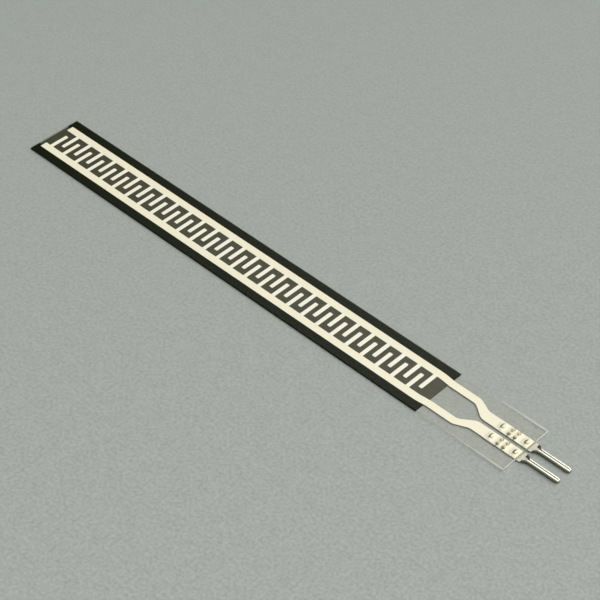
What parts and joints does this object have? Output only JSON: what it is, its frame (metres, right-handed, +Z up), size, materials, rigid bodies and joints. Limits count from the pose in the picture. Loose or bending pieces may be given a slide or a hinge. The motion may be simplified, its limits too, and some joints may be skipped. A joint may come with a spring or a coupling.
{
  "type": "force sensing resistor",
  "caption": "Long flat force sensing resistor: clear film with silver combs over a black carbon-printed film, and two crimped solder pins at the tail.",
  "frame": {"origin": "middle of the whole length and width, on the surface that the strip lies on", "axes": "+X along the strip towards the solder pins, +Y across it to the left, +Z up through the clear film"},
  "size_m": [0.1068, 0.01, 0.0007],
  "materials": {
    "clear_film": "clear gloss",
    "silver_ink": "printed silver, satin",
    "black_adhesive": "black, wetted by the film above",
    "carbon_ink": "matt printed carbon",
    "black_film": "satin black",
    "tinned_contact": "bright tin plating"
  },
  "bodies": {
    "root": {"top_film": "clear_film", "electrode_left": "silver_ink", "electrode_right": "silver_ink", "spacer_left": "black_adhesive", "spacer_right": "black_adhesive", "carbon_layer": "carbon_ink", "base_film": "black_film", "contact_left": "tinned_contact", "contact_right": "tinned_contact"}
  },
  "joints": []
}
